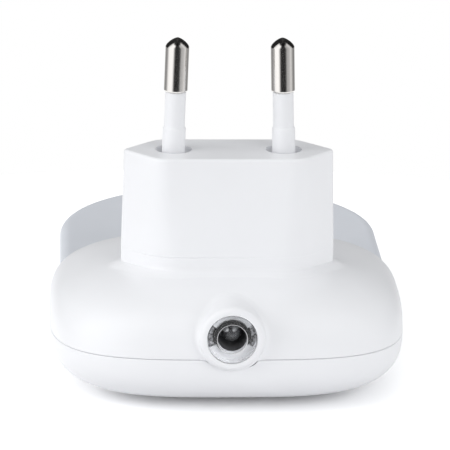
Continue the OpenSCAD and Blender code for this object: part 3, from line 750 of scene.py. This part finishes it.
class Graph:
    """Short hand for building the nodes of a material or of the world."""

    def __init__(self, owner, output="ShaderNodeOutputMaterial"):
        self.owner = owner
        owner.use_nodes = True
        self.tree = owner.node_tree
        self.tree.nodes.clear()
        self.out = self.add(output)

    def add(self, kind, **values):
        node = self.tree.nodes.new(kind)
        for key, value in values.items():
            setattr(node, key, value)
        return node

    def put(self, value, socket):
        """Links a node's output to a socket, or sets a plain number or colour on it."""
        if isinstance(value, bpy.types.NodeSocket):
            self.tree.links.new(value, socket)
        elif isinstance(value, tuple):
            socket.default_value = (*value, 1.0)
        else:
            socket.default_value = value

    def coords(self):
        return self.add("ShaderNodeTexCoord").outputs["Object"]

    def noise(self, scale, detail=2.0, roughness=0.5, vector=None):
        node = self.add("ShaderNodeTexNoise")
        self.put(scale, node.inputs["Scale"])
        self.put(detail, node.inputs["Detail"])
        self.put(roughness, node.inputs["Roughness"])
        self.put(vector or self.coords(), node.inputs["Vector"])
        return node.outputs["Fac"]

    def ramp(self, fac, stops):
        """Colours by place from 0 to 1. The first and last stop take the two that the node comes with."""
        node = self.add("ShaderNodeValToRGB")
        elements = node.color_ramp.elements
        for element, (place, colour) in ((elements[0], stops[0]), (elements[-1], stops[-1])):
            element.position, element.color = place, (*colour, 1.0)
        for place, colour in stops[1:-1]:
            elements.new(place).color = (*colour, 1.0)
        self.put(fac, node.inputs["Fac"])
        return node.outputs["Color"]

    def span(self, fac, low, high, from_low=0.3, from_high=0.7):
        node = self.add("ShaderNodeMapRange")
        self.put(from_low, node.inputs["From Min"])
        self.put(from_high, node.inputs["From Max"])
        self.put(low, node.inputs["To Min"])
        self.put(high, node.inputs["To Max"])
        self.put(fac, node.inputs["Value"])
        return node.outputs["Result"]

    def bump(self, height, strength, distance):
        node = self.add("ShaderNodeBump")
        self.put(strength, node.inputs["Strength"])
        self.put(distance, node.inputs["Distance"])
        self.put(height, node.inputs["Height"])
        return node.outputs["Normal"]

    def calc(self, operation, *values):
        node = self.add("ShaderNodeMath", operation=operation)
        for socket, value in zip(node.inputs, values):
            self.put(value, socket)
        return node.outputs[0]

    def near_sensor(self, radius, y):
        """1 within a radius of the sensor's axis and in front of a plane, else 0. In millimetres."""
        place = self.add("ShaderNodeSeparateXYZ")
        self.put(self.coords(), place.inputs[0])
        across = self.calc("POWER", place.outputs["X"], 2.0)
        upright = self.calc("POWER", self.calc("SUBTRACT", place.outputs["Z"], SENSOR_Z * MM), 2.0)
        within = self.calc("LESS_THAN", self.calc("ADD", across, upright), (radius * MM) ** 2)
        return self.calc("MULTIPLY", within, self.calc("LESS_THAN", place.outputs["Y"], y * MM))

    def blend(self, mask, colour, other, **values):
        """One colour where the mask is 0, and the other where it is 1."""
        node = self.add("ShaderNodeMix", data_type="RGBA", **values)
        self.put(mask, node.inputs["Factor"])
        self.put(colour, node.inputs["A"])
        self.put(other, node.inputs["B"])
        return node.outputs["Result"]

    def plain(self, kind, colour):
        """Shader with one colour."""
        node = self.add(kind)
        self.put(colour, node.inputs["Color"])
        return node

    def either(self, mask, shader, other):
        """One shader where the mask is 0, and the other where it is 1."""
        node = self.add("ShaderNodeMixShader")
        for value, socket in zip((mask, shader.outputs[0], other.outputs[0]), node.inputs):
            self.put(value, socket)
        return node

    def surface(self, node):
        """Makes a shader the surface, and returns the material or world."""
        self.put(node.outputs[0], self.out.inputs["Surface"])
        return self.owner


def material(name):
    return Graph(bpy.data.materials.new(name))


def principled(g, colour, rough, normal, **values):
    """Principled shader. Its uniform values are set on its own sockets."""
    node = g.add("ShaderNodeBsdfPrincipled")
    for key, value in values.items():
        g.put(value, node.inputs[key.replace("_", " ")])
    g.put(colour, node.inputs["Base Color"])
    g.put(rough, node.inputs["Roughness"])
    if normal:
        g.put(normal, node.inputs["Normal"])
    return node


def between(colour, spread):
    """Two colours a little darker and lighter than one."""
    return tuple(c * (1 - spread) for c in colour), tuple(min(1.0, c * (1 + spread)) for c in colour)


def mottled(g, scale, detail, colour, spread):
    """A colour that varies a little with noise."""
    low, high = between(colour, spread)
    return g.ramp(g.noise(scale, detail), [(0.3, low), (0.7, high)])


def plastic(name, colour, rough, spread=0.012):
    """Moulded plastic: slight flow marks in the colour, a fine eroded grain and uneven gloss."""
    g = material(name)
    flow = mottled(g, 70.0, 3.0, colour, spread)
    gloss = g.span(g.noise(280.0), rough - 0.03, rough + 0.03)
    grain = g.bump(g.noise(2600.0, 3.0, 0.6), 0.12, 0.00002)
    return g.surface(principled(g, flow, gloss, grain))


def black_tube(name, inside, rim):
    """Black plastic, near black on the rim and the wall, with painted light in the bore and on the ears.
    """
    g = material(name)
    # painted light: the bore is a lighter grey than the rest of this black plastic, for the light that
    # hardly reaches into it
    painted_bore_light = mottled(g, 800.0, 3.0, inside, 0.1)
    # painted light: the ears behind the window are mottled grey, not black, for the grey bands seen
    # through the window's sides
    painted_ear_light = g.ramp(g.noise(2600.0), [(0.38, (0.05, 0.05, 0.05)), (0.62, (0.5, 0.5, 0.52))])
    rim_r, bore_r = SHROUD_R + 0.3, SHROUD_IN_R + 0.03
    mouth_y, behind_y = SHROUD_Y + 0.06, 0.0
    # near black on the rim and the wall, painted light on the ears
    outer = g.blend(g.near_sensor(rim_r, behind_y), painted_ear_light, rim)
    # the bore behind its mouth, which gets the painted light
    bore = g.calc("SUBTRACT", g.near_sensor(bore_r, behind_y), g.near_sensor(bore_r, mouth_y))
    gloss = g.span(g.noise(600.0), 0.35, 0.5)
    grain = g.bump(g.noise(2600.0, 3.0, 0.6), 0.2, 0.00002)
    return g.surface(principled(g, g.blend(bore, outer, painted_bore_light), gloss, grain, Specular_IOR_Level=0.15))


def metal(name, colour, rough=0.12, spread=0.05):
    """Metal with faint draw marks along Z."""
    g = material(name)
    mapping = g.add("ShaderNodeMapping")
    mapping.inputs["Scale"].default_value = (900.0, 900.0, 60.0)
    g.put(g.coords(), mapping.inputs["Vector"])
    marks = g.noise(1.0, 4.0, 0.6, mapping.outputs["Vector"])
    low, high = between(colour, spread)
    shine = g.span(marks, rough * 0.8, rough * 1.3)
    grain = g.bump(g.noise(5000.0), 0.1, 0.00001)
    return g.surface(principled(g, g.ramp(marks, [(0.3, low), (0.7, high)]), shine, grain, Metallic=1.0))


def clear(name, colour, rough, ior, clearness, gloss, painted_highlight_at=None):
    """Clear plastic with faint haze, which lets the lamps' light through.

    The last argument gives the (radius, y) within which the plastic is opaque white: a painted highlight
    on the rim of its bore.
    """
    g = material(name)
    tint = mottled(g, 300.0, 2.0, colour, 0.01)
    if painted_highlight_at:
        # painted highlight: an opaque white ring at the mouth of the bore
        mask = g.near_sensor(*painted_highlight_at)
        tint = g.blend(mask, tint, (0.8, 0.8, 0.81))
        clearness = g.calc("SUBTRACT", 1.0, mask)
    haze = g.span(g.noise(900.0), rough * 0.6, rough * 1.4)
    solid = principled(g, tint, haze, None, IOR=ior, Specular_IOR_Level=gloss,
                       Transmission_Weight=clearness)
    shadow = g.add("ShaderNodeLightPath").outputs["Is Shadow Ray"]
    return g.surface(g.either(shadow, solid, g.plain("ShaderNodeBsdfTransparent", colour)))


def board(name, mask, copper):
    """Circuit board: solder mask with darker laminate between broad tracks."""
    g = material(name)
    cells = g.add("ShaderNodeTexVoronoi", distance="CHEBYCHEV")
    g.put(260.0, cells.inputs["Scale"])
    g.put(g.coords(), cells.inputs["Vector"])
    tracks = cells.outputs["Distance"]
    colour = g.ramp(tracks, [(0.35, copper), (0.45, mask)])
    return g.surface(principled(g, colour, 0.35, g.bump(tracks, 0.2, 0.00002)))


WHITE = plastic("white_plastic", (0.88, 0.885, 0.905), 0.4)
SLEEVE = plastic("sleeve_plastic", (0.86, 0.865, 0.885), 0.5)
OPAL = plastic("diffuser_plastic", (0.775, 0.80, 0.85), 0.42)
NICKEL = metal("nickel", (0.70, 0.68, 0.66))
TIN = plastic("tinned_lead", (0.92, 0.92, 0.9), 0.3)
# The first colour is painted light for the bore; the near black is the plastic's own colour on the rim and
# the wall
BLACK = black_tube("black_plastic", (0.14, 0.14, 0.145), (0.01, 0.01, 0.011))
# Where the window's bore gets its painted highlight, a thin white ring at its mouth
WINDOW_RIM_PAINTED_HIGHLIGHT = (WINDOW_BORE_R + 0.1, WINDOW_Y + 0.2)
CLEAR = clear("clear_plastic", (0.95, 0.955, 0.965), 0.03, 1.3, 1.0, 0.2, painted_highlight_at=WINDOW_RIM_PAINTED_HIGHLIGHT)
RESIN = clear("sensor_resin", (0.72, 0.73, 0.76), 0.04, 1.54, 0.88, 0.5)

CARRIED = {
    "retainer_plate": plastic("inner_plastic", (0.8, 0.79, 0.74), 0.5),
    "retainer_screws": metal("screw_steel", (0.6, 0.6, 0.62), 0.3),
    "pin_tags": metal("tag_brass", (0.78, 0.6, 0.3), 0.25),
    "live_wire": plastic("brown_insulation", (0.22, 0.11, 0.05), 0.45, 0.05),
    "neutral_wire": plastic("blue_insulation", (0.05, 0.14, 0.45), 0.45, 0.05),
    "driver_board": board("board_green", (0.03, 0.2, 0.08), (0.05, 0.3, 0.12)),
    "film_capacitor": plastic("capacitor_ochre", (0.6, 0.36, 0.08), 0.3, 0.04),
    "smoothing_capacitor": plastic("capacitor_sleeve", (0.05, 0.06, 0.09), 0.3, 0.1),
    "bridge_rectifier": plastic("black_resin", (0.02, 0.02, 0.02), 0.5, 0.1),
    "fusible_resistor": plastic("resistor_green", (0.2, 0.32, 0.22), 0.5, 0.06),
    "bleed_resistor": plastic("resistor_tan", (0.62, 0.47, 0.3), 0.45, 0.05),
    "zener_diode": plastic("diode_glass", (0.7, 0.25, 0.08), 0.15, 0.05),
    "varistor": plastic("varistor_blue", (0.04, 0.15, 0.5), 0.45, 0.05),
    "led_board": board("board_white", (0.85, 0.85, 0.84), (0.8, 0.8, 0.79)),
    "led_chips": plastic("chip_yellow", (0.85, 0.7, 0.2), 0.25, 0.03),
    "reflector": plastic("reflector_white", (0.9, 0.9, 0.9), 0.6),
    "led_wires": plastic("red_insulation", (0.5, 0.04, 0.03), 0.45, 0.05),
}
CARRIED["board_screws"] = CARRIED["retainer_screws"]
CARRIED["transistor"] = CARRIED["bridge_rectifier"]

for node, mat in CARRIED.items():
    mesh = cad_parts[node].data
    mesh.materials.clear()
    mesh.materials.append(mat)

PIECES = [
    (make_rear_housing(), "rear_housing", "white_plastic", WHITE),
    (make_front_cover(), "front_cover", "white_plastic", WHITE),
    (make_diffuser(), "diffuser", "diffuser_plastic", OPAL),
    (make_plug_block(), "plug_block", "white_plastic", WHITE),
    (make_pin(-1), "pin_left", "nickel", NICKEL),
    (make_pin(1), "pin_right", "nickel", NICKEL),
    (make_sleeve(-1), "sleeve_left", "sleeve_plastic", SLEEVE),
    (make_sleeve(1), "sleeve_right", "sleeve_plastic", SLEEVE),
    (make_window(), "sensor_window", "clear_plastic", CLEAR),
    (make_shroud(), "sensor_shroud", "black_plastic", BLACK),
    (make_sensor(), "light_sensor", "sensor_resin", RESIN),
    (make_leads(), "light_sensor", "screw_steel", TIN),
]
for piece, node, slot, mat in PIECES:
    piece.data.materials.clear()
    piece.data.materials.append(mat)
    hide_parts(node)
    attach(piece, "root")


# ---- floor, light and camera ----------------------------------------------

def seen_or_mirrored(g):
    """1 for the rays that the camera, metal and glass send out, else 0."""
    path = g.add("ShaderNodeLightPath")
    mirrored = g.calc("MAXIMUM", path.outputs["Is Camera Ray"], path.outputs["Is Glossy Ray"])
    return g.calc("MAXIMUM", mirrored, path.outputs["Is Transmission Ray"])


def make_floor():
    """Round white table top, whiter to the eye than to the light that it sends back."""
    radius, edge, depth = 140.0, 2.0, 10.0
    profile = [(0, 0.0), (radius - edge, 0.0)]
    profile += [(radius - edge + edge * math.sin(a), -edge + edge * math.cos(a))
                for a in (math.pi / 2 * k / 6 for k in range(1, 7))]
    profile += [(radius, -depth), (0, -depth)]
    floor = lathe("floor", profile, flat_place, 192)
    g = material("floor_white")
    lit = g.plain("ShaderNodeBsdfDiffuse", (0.82, 0.82, 0.83))
    seen = g.plain("ShaderNodeBsdfDiffuse", (1.45, 1.45, 1.45))
    floor.data.materials.append(g.surface(g.either(seen_or_mirrored(g), lit, seen)))


def area_light(name, place, size, power):
    """Square lamp that shines on the object, and that metal and gloss don't mirror."""
    data = bpy.data.lights.new(name, "AREA")
    data.shape = "RECTANGLE"
    data.size = data.size_y = size * MM
    data.energy = power
    obj = bpy.data.objects.new(name, data)
    bpy.context.scene.collection.objects.link(obj)
    obj.location = Vector(place) * MM
    obj.rotation_mode = "QUATERNION"
    obj.rotation_quaternion = (LAMP_TARGET - Vector(place)).to_track_quat("-Z", "Y")
    obj.visible_glossy = False


# What metal and gloss mirror: share of light by direction, from the left past the front to the
# right. 0 is the front, 180 is behind. A lit wall on each side, an opening in front, white behind.
ROUND = [
    (-180, 1.0), (-165, 1.0), (-148, 0.4), (-112, 0.34), (-97, 0.8), (-84, 1.3), (-50, 1.45),
    (-39, 1.25), (-29, 0.38), (-19, 0.03), (19, 0.03), (29, 0.17), (39, 0.52), (60, 0.63),
    (84, 0.95), (97, 0.53), (112, 0.38), (134, 0.25), (165, 1.0), (180, 1.0),
]
# The same by height, for the walls and for what is behind
WALLS_UP = [(-90, 1.0), (62, 1.0), (70, 0.03), (90, 0.03)]
BEHIND_UP = [(-90, 1.0), (-8, 1.0), (2, 0.05), (90, 0.05)]
BEHIND_FROM = 104  # degrees to each side, from which it is behind
ROOM_LIGHT = 0.63
# Name, place in millimetres, side in millimetres and power in watts
LAMPS = [
    ("left", (-640, -160, 240), 500, 2.25),
    ("front_right", (380, -500, 260), 400, 1.25),
    ("top", (0, 0, 700), 500, 0.25),
]
LAMP_TARGET = Vector((0, 0, 20))
# The camera, as the photograph was taken: millimetres, degrees and pixels
CAMERA_TARGET = Vector((-0.44, 0.0, 27.69))
CAMERA_DISTANCE = 599.9
CAMERA_ELEVATION = 16.12
CAMERA_TURN = 2.75
CAMERA_ROLL = -0.78
FOCAL_PIXELS = 3540.0
PHOTO_PIXELS = 450.0
SENSOR_WIDTH = 36.0


def make_world():
    """Even light for the object, walls for what mirrors, and white for the eye and through glass."""
    world = bpy.data.worlds.new("studio")
    bpy.context.scene.world = world
    g = Graph(world, "ShaderNodeOutputWorld")

    def by_angle(angle, half, stops):
        """Share of light by an angle between -half and half."""
        places = [((math.radians(at) + half) / (2 * half), (value, value, value)) for at, value in stops]
        return g.ramp(g.span(angle, 0.0, 1.0, -half, half), places)

    way = g.add("ShaderNodeSeparateXYZ")
    g.put(g.add("ShaderNodeTexCoord").outputs["Generated"], way.inputs[0])
    turn = g.calc("ARCTAN2", way.outputs["X"], g.calc("MULTIPLY", way.outputs["Y"], -1.0))
    height = g.calc("ARCSINE", way.outputs["Z"])
    back = g.calc("GREATER_THAN", g.calc("ABSOLUTE", turn), math.radians(BEHIND_FROM))
    walls, behind = (by_angle(height, math.pi / 2, stops) for stops in (WALLS_UP, BEHIND_UP))
    around = by_angle(turn, math.pi, ROUND)
    mirrored = g.blend(1.0, around, g.blend(back, walls, behind), blend_type="MULTIPLY")

    path = g.add("ShaderNodeLightPath")
    room = g.plain("ShaderNodeBackground", (0.98, 0.99, 1.0))
    g.put(ROOM_LIGHT, room.inputs["Strength"])
    gloss = g.either(path.outputs["Is Glossy Ray"], room, g.plain("ShaderNodeBackground", mirrored))
    through = g.calc("MAXIMUM", path.outputs["Is Camera Ray"], path.outputs["Is Transmission Ray"])
    g.surface(g.either(through, gloss, g.plain("ShaderNodeBackground", (1.0, 1.0, 1.0))))


def make_camera():
    elevation, turn, roll = (math.radians(a) for a in (CAMERA_ELEVATION, CAMERA_TURN, CAMERA_ROLL))
    flat = math.cos(elevation)
    look = Vector((math.sin(turn) * flat, math.cos(turn) * flat, -math.sin(elevation)))
    right = Vector((math.cos(turn), -math.sin(turn), 0.0))
    up = right.cross(look)
    right_rolled = math.cos(roll) * right - math.sin(roll) * up
    up_rolled = math.cos(roll) * up + math.sin(roll) * right
    data = bpy.data.cameras.new("camera")
    data.sensor_width = SENSOR_WIDTH
    data.lens = FOCAL_PIXELS / PHOTO_PIXELS * SENSOR_WIDTH
    data.clip_start, data.clip_end = 0.01, 20.0
    obj = bpy.data.objects.new("camera", data)
    bpy.context.scene.collection.objects.link(obj)
    obj.rotation_mode = "QUATERNION"
    obj.rotation_quaternion = Matrix((right_rolled, up_rolled, -look)).transposed().to_quaternion()
    obj.location = (CAMERA_TARGET - CAMERA_DISTANCE * look) * MM
    bpy.context.scene.camera = obj


make_floor()
make_world()
for lamp in LAMPS:
    area_light(*lamp)
make_camera()
bpy.context.scene.view_settings.view_transform = "Standard"
